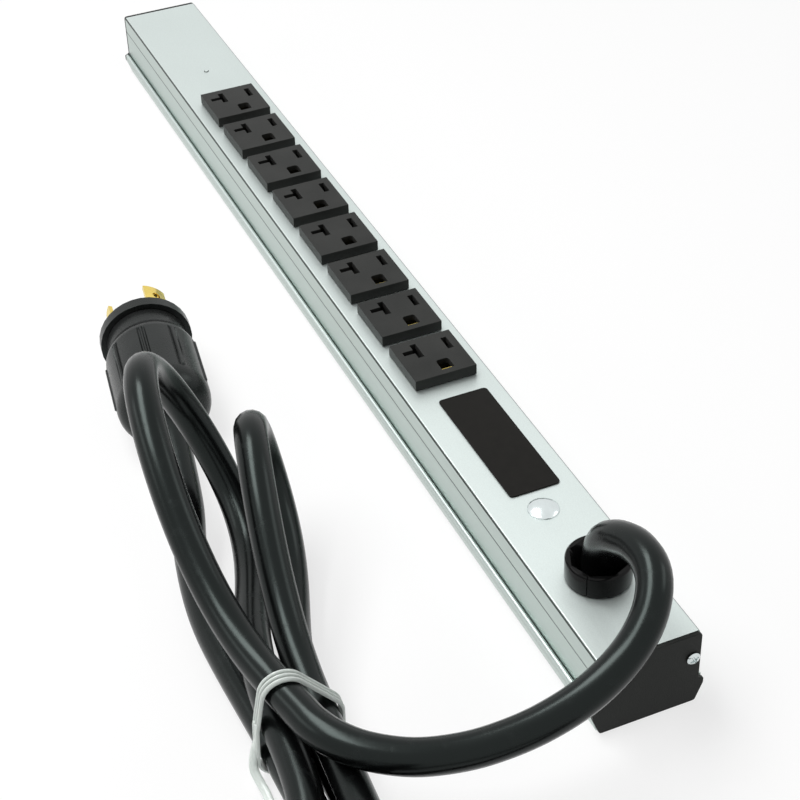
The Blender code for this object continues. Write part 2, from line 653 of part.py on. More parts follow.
def make_tie(shop):
    """A band drawn round the five passes of the cord."""
    centres = [(across - TIE_FORWARD * math.tan(math.radians(slant)), height)
               for across, height, slant in PASSES]
    corners = [(centres[3], -90, 0), (centres[2], 0, 40), (centres[0], 40, 170), (centres[1], 170, 180),
               (centres[4], 180, 270)]
    loops = []
    for radius in (CORD_R + TIE_CLEAR + TIE_THICK, CORD_R + TIE_CLEAR):
        loop = []
        for centre, start, end in corners:
            loop += arc(centre, radius, start, end, TIE_ARC_STEPS)
        loops.append(loop)
    middle = Vector((*WAIST, 0.0)) + heading_vector(WAIST_HEADING) * TIE_FORWARD
    heading = math.radians(WAIST_HEADING - 180.0)
    turn = Matrix.Translation(middle) @ Matrix.Rotation(heading, 4, "Z") @ along_x()
    shop.outline("cord_tie", loops, TIE_WIDTH, "clear_tie", turn)


def make_plug(shop):
    """The plug's body, its flanged face and three curved locking blades."""
    turn = Matrix.Translation(plug_point(0.0)) @ Matrix.Rotation(PLUG_HEADING, 4, "Z")
    turn = turn @ Matrix.Rotation(math.pi / 2, 4, "Y")
    length = PLUG_BODY_LENGTH
    barrel = [(0.0, length), (PLUG_NECK_R, length), (PLUG_NECK_R, PLUG_NECK_FROM + 2 * MM),
              (PLUG_R, PLUG_NECK_FROM - 2 * MM), (PLUG_R, 8.0 * MM), (0.9 * PLUG_R, 3.2 * MM),
              (0.72 * PLUG_R, 0.9 * MM), (PLUG_CUFF_R, 0.0), (0.0, 0.0)]
    body = shop.turned("plug_body", barrel, 28, "black_plastic")
    body.matrix_world = turn
    front = length + GAP + PLUG_FLANGE
    flange = [(0.0, front), (PLUG_R - 0.6 * MM, front), (PLUG_R, front - 0.6 * MM),
              (PLUG_R, length + GAP), (0.0, length + GAP)]
    face = shop.turned("plug_face", flange, 32, "black_plastic")
    face.matrix_world = turn
    outer = BLADE_CIRCLE_R + BLADE_THICK / 2
    inner = BLADE_CIRCLE_R - BLADE_THICK / 2
    low = front - BLADE_ROOT
    middle = low + (BLADE_ROOT + BLADE_LENGTH) / 2
    for name, angle in BLADE_ANGLES.items():
        start = angle - BLADE_SPAN / 2
        end = angle + BLADE_SPAN / 2
        blade = arc((0.0, 0.0), outer, start, end, 6) + arc((0.0, 0.0), inner, end, start, 6)
        place = turn @ Matrix.Translation((0.0, 0.0, middle))
        shop.outline(name, [blade], BLADE_ROOT + BLADE_LENGTH, "brass", place)
        ease = math.degrees(GAP / BLADE_CIRCLE_R)
        seat = arc((0.0, 0.0), outer + GAP, start - ease, end + ease, 6)
        seat += arc((0.0, 0.0), inner - GAP, end + ease, start - ease, 6)
        cutter = shop.outline(name + "_seat", [seat], BLADE_ROOT + BLADE_LENGTH + 2 * GAP, "brass", place)
        shop.combine(face, cutter)


def main():
    clear_scene()
    shop = Workshop()
    make_cover(shop)
    make_base(shop)
    for name, side in (("end_cap_blank", -1), ("end_cap_cord", 1)):
        make_end_cap(shop, name, side)
        make_screw(shop, name + "_screw_left", side, -SCREW_Y)
        make_screw(shop, name + "_screw_right", side, SCREW_Y)
    make_receptacles(shop)
    make_wiring(shop)
    make_top_pieces(shop)
    make_gland(shop)
    make_cord(shop)
    make_tie(shop)
    make_plug(shop)


main()
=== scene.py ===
"""Looks for the aluminium power strip: finishes, the cord, its tie, the plug and the studio."""
import math

import bmesh
import bpy
from mathutils import Matrix, Vector


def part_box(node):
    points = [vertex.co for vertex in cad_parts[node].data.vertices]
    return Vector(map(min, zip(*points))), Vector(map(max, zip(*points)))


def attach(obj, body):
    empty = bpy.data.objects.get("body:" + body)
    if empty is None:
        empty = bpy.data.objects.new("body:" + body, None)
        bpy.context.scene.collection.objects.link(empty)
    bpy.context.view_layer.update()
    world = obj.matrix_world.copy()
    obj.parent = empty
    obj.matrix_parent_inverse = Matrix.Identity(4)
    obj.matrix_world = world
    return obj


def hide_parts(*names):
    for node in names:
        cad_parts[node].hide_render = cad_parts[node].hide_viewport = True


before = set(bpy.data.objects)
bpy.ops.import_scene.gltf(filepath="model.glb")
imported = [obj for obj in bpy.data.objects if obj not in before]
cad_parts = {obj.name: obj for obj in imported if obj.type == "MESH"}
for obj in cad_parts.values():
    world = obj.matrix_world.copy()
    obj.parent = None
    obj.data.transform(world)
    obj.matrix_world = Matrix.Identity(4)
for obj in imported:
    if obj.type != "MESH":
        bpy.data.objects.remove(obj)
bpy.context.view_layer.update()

bl_info = {
    "name": "Power strip looks",
    "version": (1, 0, 0),
    "blender": (4, 5, 0),
    "location": "3D View > Sidebar > Power strip",
    "description": "Dresses the packed power strip with its finishes, cord, tie, plug and studio",
    "category": "Object",
}

MM = 0.001
BODY = "root"
OUTLETS = 8
LINES = ("hot", "neutral", "ground")

# Meshes: how near two points count as one, and up to which angle in degrees a surface is flat or
# smooth
SAME_POINT = 0.001 * MM
SAME_CAD_POINT = 0.002 * MM
FLAT_ANGLE = 1.0
SMOOTH_ANGLE = 35.0
ROUNDED_SMOOTH = 50.0
TINY = 1e-6

# Route of the cord, the same as in the part's source
LEAD_ROUTE = [(216.0, 1.0, 24.0), (216.0, 1.0, 39.5), (219.3, 0.6, 49.0), (226.0, 1.2, 55.8),
              (235.3, 2.4, 60.0), (245.2, 2.0, 61.0), (253.6, -0.8, 58.8), (260.6, -7.0, 53.0),
              (265.6, -17.0, 46.0), (269.3, -31.2, 40.0), (270.8, -47.2, 36.0),
              (270.2, -62.1, 33.7), (268.0, -75.0, 32.6), (263.6, -88.4, 32.6),
              (256.0, -100.0, 33.2), (247.8, -107.2, 33.9)]
END_RUN = 4.2 * MM
PLUG_ROUTE = [(163.0, -119.0, 8.2), (129.0, -114.5, 9.0), (103.0, -107.0, 14.0)]
WAIST = (231.0 * MM, -110.6 * MM)
WAIST_HEADING = 176.0
WAIST_RUN = 4.0 * MM
JOINT = 0.3 * MM
INTO_PLUG = 1.0 * MM
# Each pass through the tie: across the bundle, up, and its slant in degrees
PASSES = [(-2.4 * MM, 34.2 * MM, 16.0), (-6.8 * MM, 21.0 * MM, 0.0), (6.8 * MM, 21.0 * MM, 0.0),
          (6.8 * MM, 8.2 * MM, 0.0), (-6.8 * MM, 8.2 * MM, 5.0)]
# Each half loop of the hank: reach, heading in degrees, width, lift, and lean in degrees
HALF_LOOPS = [(140.0 * MM, 175.3, 35.5 * MM, 27.5 * MM, 62.0),
              (172.0 * MM, -26.0, 38.0 * MM, 10.0 * MM, -35.0),
              (118.0 * MM, 169.0, 22.0 * MM, 28.0 * MM, 77.0),
              (172.0 * MM, 24.0, -46.0 * MM, 0.0, 0.0)]
HALF_LOOP_POINTS = 96
# How sharply a half loop leaves the direction in which the tie holds it
HOLD_POWER = 6
ROUTE_STEP = 2.5 * MM
ROUTE_PARTS = 12
CORD_EXIT = (216.0 * MM, 1.0 * MM, 39.0 * MM)
CORD_ROUNDNESS = 6

# The tie: the pass that it turns round at each corner, and from and to which angle in degrees
TIE_CORNERS = [(3, -90, 0), (2, 0, 40), (0, 40, 170), (1, 170, 180), (4, 180, 270)]
TIE_CORNER_STEPS = 16
TIE_FORWARD = 7.0 * MM
TIE_CLEAR = 0.9 * MM
TIE_WIDTH = 5.2 * MM
TIE_SMOOTH = 60.0
# Its outside: thickness in the grooves, and the ridges' height, count, points across and curve
TIE_SKIN = 0.15 * MM
RIDGE_HEIGHT = 1.0 * MM
RIDGES = 3
RIDGE_POINTS = 8
RIDGE_CURVE = 0.75
# Its loose end: route, the way that it faces at the floor, and half its width and thickness
TAIL_ROUTE = [(223.0, -124.2, 24.0), (223.1, -124.4, 18.0), (223.6, -125.8, 11.5),
              (225.5, -127.0, 7.0), (229.0, -126.6, 4.4), (233.5, -126.0, 2.8),
              (238.5, -126.2, 2.2)]
TAIL_FACING = Vector((0.7292, -0.30319, 0.61346))
TAIL_HALF_WIDTH = 1.5 * MM
TAIL_HALF_THICK = 0.55 * MM
TAIL_STEP = 1.0 * MM
TAIL_SIDES = 12

# The plug
PLUG_BACK = Vector((56.8, -98.7, 19.0)) * MM
PLUG_HEADING = 171.3
FLANGE_ROUND = 0.4 * MM
# Its barrel: along the axis from the back, and radius
BARREL = [(0.0, 6.2), (0.0, 8.5), (0.5, 12.2), (1.6, 15.0), (3.6, 17.0), (6.5, 18.1), (9.0, 18.4),
          (9.8, 18.4), (10.4, 18.4), (22.0, 18.4), (36.0, 18.4), (36.6, 18.4), (38.0, 18.3),
          (39.6, 17.8), (40.8, 16.9), (41.6, 16.4), (44.0, 16.2), (50.4, 16.2)]
BARREL_SIDES = 240
# Its ribs: where they run along the barrel, and in degrees the first one's place and how far a rib
# and the recess beside it reach from the rib's middle
RIBS = 9
RIB_FROM = 10.0
RIB_TO = 36.3
RIB_PHASE = 10.0
RIB_REACH = 1.6
RECESS_REACH = 4.6
# Its blades: their ring, their size, the hole's place and radius, and each blade's angle
BLADE_RING = 12.5
BLADE_HALF_THICK = 0.8
BLADE_HALF_WIDTH = 4.8
BLADE_FROM = 52.4
BLADE_TO = 72.3
BLADE_HOLE = (66.5, 1.7)
BLADE_HOLE_SIDES = 48
BLADES = dict(zip(LINES, (95.0, 215.0, 335.0)))

# The body: the height of the score line along its sides, and the small rounds on its pieces
SCORE_HEIGHT = 22.7 * MM
RAIL_ROUND = 0.22 * MM
CAP_ROUND = 0.45 * MM
LABEL_ROUND = 0.15 * MM

# The bushing: radius, height over its seat or none for its foot, and what shapes that line
BUSHING_LINES = [(9.2, None, "stem"), (9.2, 0.0, "stem"), (11.15, 0.0, "skin"), (11.5, 0.4, "skin"),
                 (11.5, 7.7, "skin"), (11.36, 8.2, "skin"), (10.95, 8.6, "skin"),
                 (10.45, 8.6, "mouth"), (10.2, 8.4, "mouth"), (7.9, 5.4, "mouth"),
                 (6.9, 3.0, "bore"), (6.3, 2.0, "bore"), (6.3, None, "bore")]
BUSHING_RIM = 8.6
BUSHING_STEPS = 60
BUSHING_SMOOTH = 32.0
MOUTH_FACET = 45.0
# Its seams: in degrees where they are, what they clear, their edges and their bottom, and in mm
# how deep they go
BUSHING_SEAMS = (132.0, 312.0)
SEAM_CLEAR = 1.7
SEAM_EDGE = 1.3
SEAM_BOTTOM = 0.7
SEAM_DEPTH = 0.5
SEAM_DROP = 0.35

# The domed hole plug: radius and height over the top face
DOME = [(0.4, 1.95), (1.4, 1.88), (2.6, 1.68), (3.8, 1.32), (4.7, 0.93), (5.3, 0.6), (5.62, 0.36),
        (5.7, 0.18), (5.66, 0.03), (4.1, 0.03), (4.1, -3.9)]
DOME_SIDES = 72

# The screws: the head's radius, dome and rings, the cross cut into it, and the shank's steps
SCREW_HEAD = 2.4 * MM
SCREW_DOME = 0.75 * MM
SCREW_CURVE = 3.2
SCREW_RINGS = (0.06, 0.14, 0.22, 0.34, 0.44, 0.56, 0.62, 0.68, 0.76, 0.86, 0.94, 1.0)
SCREW_SIDES = 64
SCREW_TURN = 0.5
SCREW_SMOOTH = 30.0
CROSS_HALF = 0.34 * MM
CROSS_REACH = 1.55 * MM
CROSS_DEPTH = 0.65 * MM
SCREW_SHANK = ((2.4 * MM, -1.1 * MM), (1.2 * MM, -1.1 * MM), (1.2 * MM, -12.0 * MM))

# The camera that took the picture, from a fit of the strip's edges
CAMERA_PLACE = Vector((618.95, -236.02, 467.55)) * MM
CAMERA_RIGHT = Vector((0.40295, 0.91483, -0.02684))
CAMERA_UP = Vector((-0.55307, 0.26677, 0.78927))
CAMERA_BACK = Vector((0.7292, -0.30319, 0.61346))
CAMERA_LENS = 85.4
CAMERA_SENSOR = 36.0
CAMERA_NEAR = 0.01

# The studio: each soft lamp's name, place, width, depth and power, where they point, and the floor
LAMPS = [("lamp_key", (-0.15, -0.45, 1.25), 1.2, 0.5, 17.5),
         ("lamp_left", (-0.25, -1.15, 0.6), 0.8, 0.3, 1.5),
         ("lamp_right", (0.45, 1.05, 0.9), 0.8, 0.4, 2.0)]
LAMP_AIM = Vector((0.08, -0.05, 0.0))
FLOOR_HALF = 6.0
FLOOR_DROP = 0.3 * MM
FLOOR_GLOW = 0.72
PAPER = (0.93, 0.93, 0.93, 1.0)
WHITE = (1.0, 1.0, 1.0, 1.0)

# Finishes that are hidden inside
WIRE_SHADE = (0.05, 0.05, 0.05)
FIBRE_DARK = (0.25, 0.2, 0.13, 1.0)
FIBRE_LIGHT = (0.4, 0.33, 0.23, 1.0)


def colour(name, description, default):
    return bpy.props.FloatVectorProperty(name=name, description=description, default=default,
                                         subtype="COLOR", size=3, min=0.0, max=1.0)


def distance(name, description, default):
    return bpy.props.FloatProperty(name=name, description=description, default=default,
                                   unit="LENGTH", subtype="DISTANCE")


class StripColours(bpy.types.PropertyGroup):
    aluminium: colour("Aluminium", "Blasted top of the body", (0.565, 0.620, 0.605))
    # The sides' colour is darker than the top's as painted shade
    aluminium_side_shaded: colour("Aluminium sides", "Plain extruded sides", (0.485, 0.555, 0.525))
    cap: colour("End caps", "Dark plates at the ends", (0.018, 0.018, 0.017))
    outlet: colour("Outlets", "Moulded outlet faces", (0.024, 0.024, 0.023))
    nylon: colour("Bushing", "Glossy cord bushing", (0.004, 0.004, 0.004))
    cord: colour("Cord", "Cord jacket", (0.0025, 0.0027, 0.0028))
    plug: colour("Plug", "Plug body", (0.011, 0.0115, 0.0115))
    tie: colour("Tie", "Clear ribbed tie", (0.82, 0.88, 0.84))
    steel: colour("Zinc", "Screws and hole plug", (0.70, 0.76, 0.76))
    brass: colour("Brass", "Blades and contacts", (0.86, 0.66, 0.16))
    label: colour("Label", "Plain label plate", (0.0065, 0.006, 0.005))


class StripSizes(bpy.types.PropertyGroup):
    cord_diameter: distance("Cord diameter", "Across the cord's jacket", 12.0 * MM)
    edge_round: distance("Moulded edge", "Round on the outlets' edges", 0.4 * MM)
    rib_height: distance("Plug rib", "How far the plug's ribs stand out", 0.6 * MM)
    sky: bpy.props.FloatProperty(
        name="Room light", description="Strength of the even light all round", default=0.22)


class Value:
    """A shader socket that takes part in sums written in Python."""

    def __init__(self, nodes, socket):
        self.nodes = nodes
        self.socket = socket

    def sum(self, operation, one, two):
        return self.nodes.value("ShaderNodeMath", {"operation": operation}, {0: one, 1: two})

    def larger(self, other):
        return self.sum("MAXIMUM", self, other)

    def __add__(self, other):
        return self.sum("ADD", self, other)

    __radd__ = __add__

    def __sub__(self, other):
        return self.sum("SUBTRACT", self, other)

    def __rsub__(self, other):
        return self.sum("SUBTRACT", other, self)

    def __mul__(self, other):
        return self.sum("MULTIPLY", self, other)

    __rmul__ = __mul__

    def __truediv__(self, other):
        return self.sum("DIVIDE", self, other)

    def __rtruediv__(self, other):
        return self.sum("DIVIDE", other, self)


class Nodes:
    """The nodes of one material or of the room, each made by one method."""

    def __init__(self, owner):
        owner.use_nodes = True
        self.tree = owner.node_tree
        self.tree.nodes.clear()

    def add(self, kind, settings, sockets):
        node = self.tree.nodes.new(kind)
        for key, value in settings.items():
            if key == "stops":
                for stop, (place, shade) in zip(node.color_ramp.elements, value):
                    stop.position = place
                    stop.color = (shade, shade, shade, 1.0)
            else:
                setattr(node, key, value)
        for key, value in sockets.items():
            self.feed(node.inputs[key], value)
        return node

    def value(self, kind, settings, sockets, output=0):
        """One output of a new node, ready for sums and other sockets."""
        return Value(self, self.add(kind, settings, sockets).outputs[output])

    def feed(self, socket, value):
        if isinstance(value, Value):
            self.tree.links.new(value.socket, socket)
        else:
            socket.default_value = value


class Graph(Nodes):
    """One material's nodes round a Principled shader."""

    def __init__(self, name, constants):
        self.material = bpy.data.materials.new(name)
        super().__init__(self.material)
        self.shader = self.add("ShaderNodeBsdfPrincipled", {}, constants)
        self.add("ShaderNodeOutputMaterial", {}, {"Surface": Value(self, self.shader.outputs[0])})

    def noise(self, scale, detail=3.0, stretch=(1.0, 1.0, 1.0)):
        spot = self.value("ShaderNodeTexCoord", {}, {}, "Object")
        moved = self.value("ShaderNodeMapping", {}, {"Vector": spot, "Scale": stretch})
        return self.value("ShaderNodeTexNoise", {},
                          {"Vector": moved, "Scale": scale, "Detail": detail})

    def upright(self, kind):
        """The surface's height in metres (Object) or how far it faces up (Normal), on its piece."""
        spot = self.value("ShaderNodeTexCoord", {}, {}, kind)
        return self.value("ShaderNodeSeparateXYZ", {}, {0: spot}, "Z")

    def painted(self, name):
        """A number that the mesh holds for each of its points."""
        return self.value("ShaderNodeAttribute", {"attribute_name": name}, {}, "Fac")

    def ramp(self, value, low, high):
        return self.value("ShaderNodeValToRGB", {"stops": [(low, 0.0), (high, 1.0)]}, {0: value})

    def blend(self, factor, one, two):
        return self.value("ShaderNodeMix", {"data_type": "RGBA"}, {0: factor, 6: one, 7: two}, 2)

    def bump(self, height, strength, distance):
        return self.value("ShaderNodeBump", {}, {"Strength": strength, "Distance": distance,
                                                 "Height": height})

    def dress(self, **sockets):
        for key, value in sockets.items():
            self.feed(self.shader.inputs[key.replace("_", " ").title()], value)
        return self.material


def tint(shade, factor):
    return tuple(min(1.0, part * factor) for part in shade) + (1.0,)


def satin_aluminium(shade, shaded_side):
    """Blasted aluminium, sparkling on top, and lined extruded sides made darker as painted shade.
    """
    graph = Graph("satin_aluminium", {"Metallic": 1.0})
    lines = graph.noise(1.0, detail=4.0, stretch=(5.0, 2200.0, 2200.0))
    sparkle = graph.noise(2600.0, detail=2.0)
    cloud = graph.noise(14.0, detail=4.0, stretch=(0.5, 1.0, 1.0))
    top = graph.blend(graph.ramp(0.65 * sparkle + 0.35 * cloud, 0.34, 0.66),
                      tint(shade, 0.93), tint(shade, 1.06))
    side = graph.blend(graph.ramp(0.6 * lines + 0.4 * cloud, 0.35, 0.65),
                       tint(shaded_side, 0.94), tint(shaded_side, 1.05))
    # How far a face points up: the top takes the top colour, the sides the darker side colour as
    # painted shade
    slope = graph.upright("Normal")
    facing = graph.ramp(slope, 0.30, 0.70)
    # Painted shade: dark lines in the score groove and on the upper edge's round, by height in mm
    rise = (graph.upright("Object") - SCORE_HEIGHT) / MM
    outside_score_shade = graph.ramp(rise * rise, 0.05, 0.2)
    # Painted shade: a dark line on the round of the upper edge, high on the sides
    edge = graph.ramp(slope * (1.0 - slope), 0.05, 0.15) * graph.ramp(0.1 * rise, 0.5, 0.6)
    plain = graph.blend(edge, graph.blend(facing, side, top), tint(shaded_side, 0.15))
    return graph.dress(
        base_color=graph.blend(outside_score_shade, tint(shaded_side, 0.4), plain),
        roughness=0.30 + 0.10 * lines + 0.06 * cloud + 0.10 * facing,
        normal=graph.bump(0.5 * lines + 0.5 * sparkle, strength=0.12, distance=0.08 * MM))


def moulded_plastic(name, shade, gloss, grain_size, grain_depth, shine):
    """Moulded plastic with a fine spark texture and a little handling sheen."""
    graph = Graph(name, {"Specular IOR Level": shine, "Specular Tint": (0.88, 1.0, 0.96, 1.0)})
    grain = graph.noise(grain_size)
    wear = graph.noise(60.0, detail=5.0)
    return graph.dress(
        base_color=graph.blend(graph.ramp(wear, 0.35, 0.75), tint(shade, 0.85), tint(shade, 1.3)),
        roughness=gloss + 0.14 * (wear - 0.5) + 0.08 * (grain - 0.5),
        normal=graph.bump(grain, strength=0.20, distance=grain_depth))


def gloss_nylon(shade):
    """Polished black nylon with slight flow marks."""
    graph = Graph("gloss_nylon", {"Specular IOR Level": 0.13})
    flow = graph.noise(180.0)
    return graph.dress(
        base_color=graph.blend(flow, tint(shade, 0.8), tint(shade, 1.5)),
        roughness=0.07 + 0.08 * flow,
        normal=graph.bump(flow, strength=0.05, distance=0.2 * MM))


def cord_jacket(shade):
    """Smooth black jacket with faint drag marks and scuffs."""
    graph = Graph("cord_jacket", {"Specular IOR Level": 0.25,
                                  "Specular Tint": (0.84, 1.0, 0.96, 1.0)})
    skin = graph.noise(900.0)
    drag = graph.noise(45.0, detail=4.0)
    scuff = graph.ramp(graph.noise(210.0, detail=5.0), 0.58, 0.80)
    return graph.dress(
        base_color=graph.blend(scuff * 0.5, tint(shade, 1.0), tint(shade, 3.0)),
        roughness=0.20 + 0.08 * drag + 0.12 * scuff,
        normal=graph.bump(0.5 * skin + 0.5 * drag, strength=0.06, distance=0.3 * MM))


def clear_plastic(shade):
    """Milky clear plastic, cloudier in places, with its grooves darkened as painted shade."""
    graph = Graph("clear_plastic", {"Transmission Weight": 0.22, "IOR": 1.46})
    cloud = graph.noise(90.0, detail=2.0)
    milk = graph.blend(cloud, tint(shade, 0.9), tint(shade, 1.1))
    return graph.dress(
        # Painted shade in the grooves, standing in for the dark cord seen through the thin plastic
        base_color=graph.blend(graph.painted("groove_shade"), milk, tint(shade, 0.3)),
        roughness=0.14 + 0.12 * cloud,
        normal=graph.bump(cloud, strength=0.04, distance=0.2 * MM))


def plated_metal(name, shade, gloss):
    """Plated or rolled metal with fine drawn lines and light tarnish."""
    graph = Graph(name, {"Metallic": 1.0})
    drawn = graph.noise(900.0, stretch=(0.2, 1.0, 1.0))
    tarnish = graph.noise(140.0, detail=4.0)
    return graph.dress(
        base_color=graph.blend(graph.ramp(tarnish, 0.3, 0.75),
                               tint(shade, 0.88), tint(shade, 1.06)),
        roughness=gloss + 0.08 * drawn + 0.06 * tarnish,
        normal=graph.bump(drawn, strength=0.06, distance=0.1 * MM))


def label_face(shade):
    """Smooth black film with a slight ripple."""
    graph = Graph("label_face", {"Specular IOR Level": 0.09})
    film = graph.noise(300.0)
    ripple = graph.noise(40.0, detail=2.0)
    return graph.dress(
        base_color=graph.blend(film, tint(shade, 0.8), tint(shade, 1.4)),
        roughness=0.28 + 0.12 * film,
        normal=graph.bump(ripple, strength=0.06, distance=0.4 * MM))


def fibre_sheet():
    """Plain insulating fibre."""
    graph = Graph("fibre_sheet", {})
    fibre = graph.noise(700.0, detail=4.0, stretch=(0.3, 1.0, 1.0))
    return graph.dress(
        base_color=graph.blend(fibre, FIBRE_DARK, FIBRE_LIGHT),
        roughness=0.6 + 0.2 * fibre,
        normal=graph.bump(fibre, strength=0.2, distance=0.3 * MM))


FINISHES = {}


def finish(name):
    """One finish by its name, made when it is first asked for."""
    if name not in FINISHES:
        shades = bpy.context.scene.strip_colours
        makers = {
            "aluminium": lambda: satin_aluminium(shades.aluminium, shades.aluminium_side_shaded),
            "cap": lambda: moulded_plastic("cap_plastic", shades.cap, gloss=0.46,
                                           grain_size=1500.0, grain_depth=0.3 * MM, shine=0.14),
            "outlet": lambda: moulded_plastic("outlet_plastic", shades.outlet, gloss=0.42,
                                              grain_size=2200.0, grain_depth=0.2 * MM, shine=0.13),
            "plug": lambda: moulded_plastic("plug_plastic", shades.plug, gloss=0.28,
                                            grain_size=1200.0, grain_depth=0.2 * MM, shine=0.26),
            "wire": lambda: moulded_plastic("wire_jacket", WIRE_SHADE, gloss=0.35,
                                            grain_size=900.0, grain_depth=0.1 * MM, shine=0.4),
            "nylon": lambda: gloss_nylon(shades.nylon),
            "cord": lambda: cord_jacket(shades.cord),
            "tie": lambda: clear_plastic(shades.tie),
            "steel": lambda: plated_metal("bright_zinc", shades.steel, gloss=0.12),
            "brass": lambda: plated_metal("plain_brass", shades.brass, gloss=0.16),
            "label": lambda: label_face(shades.label),
            "fibre": fibre_sheet,
        }
        FINISHES[name] = makers[name]()
    return FINISHES[name]


def paint(node, name):
    """Give a CAD node one of the finishes."""
    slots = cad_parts[node].data.materials
    slots.clear()
    slots.append(finish(name))


def piece(name, data, finish_name, slot, *nodes):
    """A new object on the strip that stands for some CAD nodes."""
    obj = bpy.data.objects.new(name, data)
    bpy.context.scene.collection.objects.link(obj)
    data.materials.append(finish(finish_name))
    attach(obj, BODY)
    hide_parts(*nodes)
    return obj


def mesh_from(name, bm, smooth_angle=SMOOTH_ANGLE):
    bmesh.ops.recalc_face_normals(bm, faces=bm.faces)
    mesh = bpy.data.meshes.new(name)
    bm.to_mesh(mesh)
    bm.free()
    mesh.shade_smooth()
    mesh.set_sharp_from_angle(angle=math.radians(smooth_angle))
    return mesh


def rounded_copy(node, name, width, segments):
    """A CAD node's mesh with its hard edges rounded."""
    bm = bmesh.new()
    bm.from_mesh(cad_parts[node].data)
    bmesh.ops.remove_doubles(bm, verts=bm.verts, dist=SAME_CAD_POINT)
    bmesh.ops.dissolve_limit(bm, angle_limit=math.radians(FLAT_ANGLE),
                             verts=bm.verts, edges=bm.edges)
    hard = [edge for edge in bm.edges
            if len(edge.link_faces) == 2 and edge.calc_face_angle() > math.radians(SMOOTH_ANGLE)]
    bmesh.ops.bevel(bm, geom=hard, offset=width, offset_type="OFFSET", segments=segments,
                    profile=0.5, affect="EDGES", clamp_overlap=True)
    return mesh_from(name, bm, ROUNDED_SMOOTH)


def rounded_piece(name, node, finish_name, slot, width, segments):
    """A CAD node with rounded edges as a piece, with its flat faces kept flat beside them."""
    obj = piece(name, rounded_copy(node, name, width, segments), finish_name, slot, node)
    weighted = obj.modifiers.new("even_normals", "WEIGHTED_NORMAL")
    weighted.keep_sharp = True


def skin_rings(bm, rings, close_ends):
    """Faces between rings of points, and over the first and last of them."""
    rows = [[bm.verts.new(point) for point in ring] for ring in rings]
    count = len(rows[0])
    for one, two in zip(rows, rows[1:]):
        for index in range(count):
            after = (index + 1) % count
            bm.faces.new((one[index], one[after], two[after], two[index]))
    if close_ends:
        bm.faces.new(rows[0])
        bm.faces.new(list(reversed(rows[-1])))


def round_point(radius, turn, height):
    """A point at a radius and an angle round the Z axis."""
    return Vector((radius * math.cos(turn), radius * math.sin(turn), height))


def lathe(name, profile, sides, place, shape=None):
    """A turned piece: radius and height in mm for each line, with an optional change of radius."""
    rings = []
    for radius, height in profile:
        ring = []
        for side in range(sides):
            angle = 360.0 * side / sides
            reach = radius * MM + (shape(angle, height) if shape else 0.0)
            ring.append(place @ round_point(reach, math.radians(angle), height * MM))
        rings.append(ring)
    bm = bmesh.new()
    skin_rings(bm, rings, True)
    return mesh_from(name, bm)


def heading_vector(degrees):
    angle = math.radians(degrees)
    return Vector((math.cos(angle), math.sin(angle), 0.0))


def waist_right():
    """Across the bundle at the tie."""
    return heading_vector(WAIST_HEADING - 90.0)


def pass_direction(index):
    return heading_vector(WAIST_HEADING + PASSES[index][2])


def pass_point(index, forward=0.0):
    across, height, _slant = PASSES[index]
    return Vector((*WAIST, height)) + waist_right() * across + pass_direction(index) * forward


def half_loop(index):
    """Points of one half loop of the hank, from the tie and back to it."""
    reach, heading, width, lift, lean = HALF_LOOPS[index]
    start = pass_point(index)
    end = pass_point(index + 1)
    forward = 1.0 if index % 2 == 0 else -1.0
    aim = heading_vector(heading)
    side = heading_vector(heading - 90.0) * forward
    tilt = math.radians(lean)
    across = side * math.cos(tilt) - Vector((0.0, 0.0, math.sin(tilt)))
    points = []
    for step in range(HALF_LOOP_POINTS + 1):
        turn = math.pi * step / HALF_LOOP_POINTS
        out = math.sin(turn)
        near = math.cos(turn) ** HOLD_POWER
        hold = pass_direction(index if turn < math.pi / 2 else index + 1) * forward
        place = start.lerp(end, (1.0 - math.cos(turn)) / 2)
        place += (hold * near + aim * (1.0 - near)) * (reach * out)
        place -= across * (width * math.sin(2 * turn) * (1.0 - near))
        place.z += lift * out * (1.0 - near)
        points.append(place)
    return points


def smooth_route(knots, step):
    """Even points on a smooth curve through the knots, with both end runs kept straight."""
    path = []
    for index in range(1, len(knots) - 2):
        before, start, end, after = knots[index - 1:index + 3]
        for part in range(ROUTE_PARTS):
            t = part / ROUTE_PARTS
            path.append((2 * start + (end - before) * t
                         + (2 * before - 5 * start + 4 * end - after) * t * t
                         + (3 * start - before - 3 * end + after) * t ** 3) / 2)
    path.append(knots[-2])
    lengths = [(two - one).length for one, two in zip(path, path[1:])]
    total = sum(lengths)
    count = max(2, round(total / step))
    points = [knots[0]]
    walked = 0.0
    at = 0
    for number in range(count + 1):
        goal = total * number / count
        while at < len(lengths) - 1 and walked + lengths[at] < goal:
            walked += lengths[at]
            at += 1
        points.append(path[at].lerp(path[at + 1], min(1.0, (goal - walked) / lengths[at])))
    return points + [knots[-1]]


def plug_frame():
    """Turns a shape built up along Z into the plug's place, its back end first."""
    return (Matrix.Translation(PLUG_BACK) @ Matrix.Rotation(math.radians(PLUG_HEADING), 4, "Z")
            @ Matrix.Rotation(math.pi / 2, 4, "Y"))


def cord_route(diameter):
    """The whole cord from the bushing to the plug."""
    last = len(PASSES) - 1
    joint = WAIST_RUN + JOINT
    lead = [Vector(knot) * MM for knot in LEAD_ROUTE]
    lead += [pass_point(0, -joint - END_RUN), pass_point(0, -joint)]
    tail = [pass_point(last, joint), pass_point(last, joint + diameter)]
    tail += [Vector(knot) * MM for knot in PLUG_ROUTE]
    ahead = heading_vector(PLUG_HEADING)
    tail += [PLUG_BACK - ahead * (diameter + JOINT), PLUG_BACK + ahead * INTO_PLUG]
    route = smooth_route(lead, ROUTE_STEP)
    for index in range(len(HALF_LOOPS)):
        route += half_loop(index)[:-1]
    return route + [pass_point(last)] + smooth_route(tail, ROUTE_STEP)


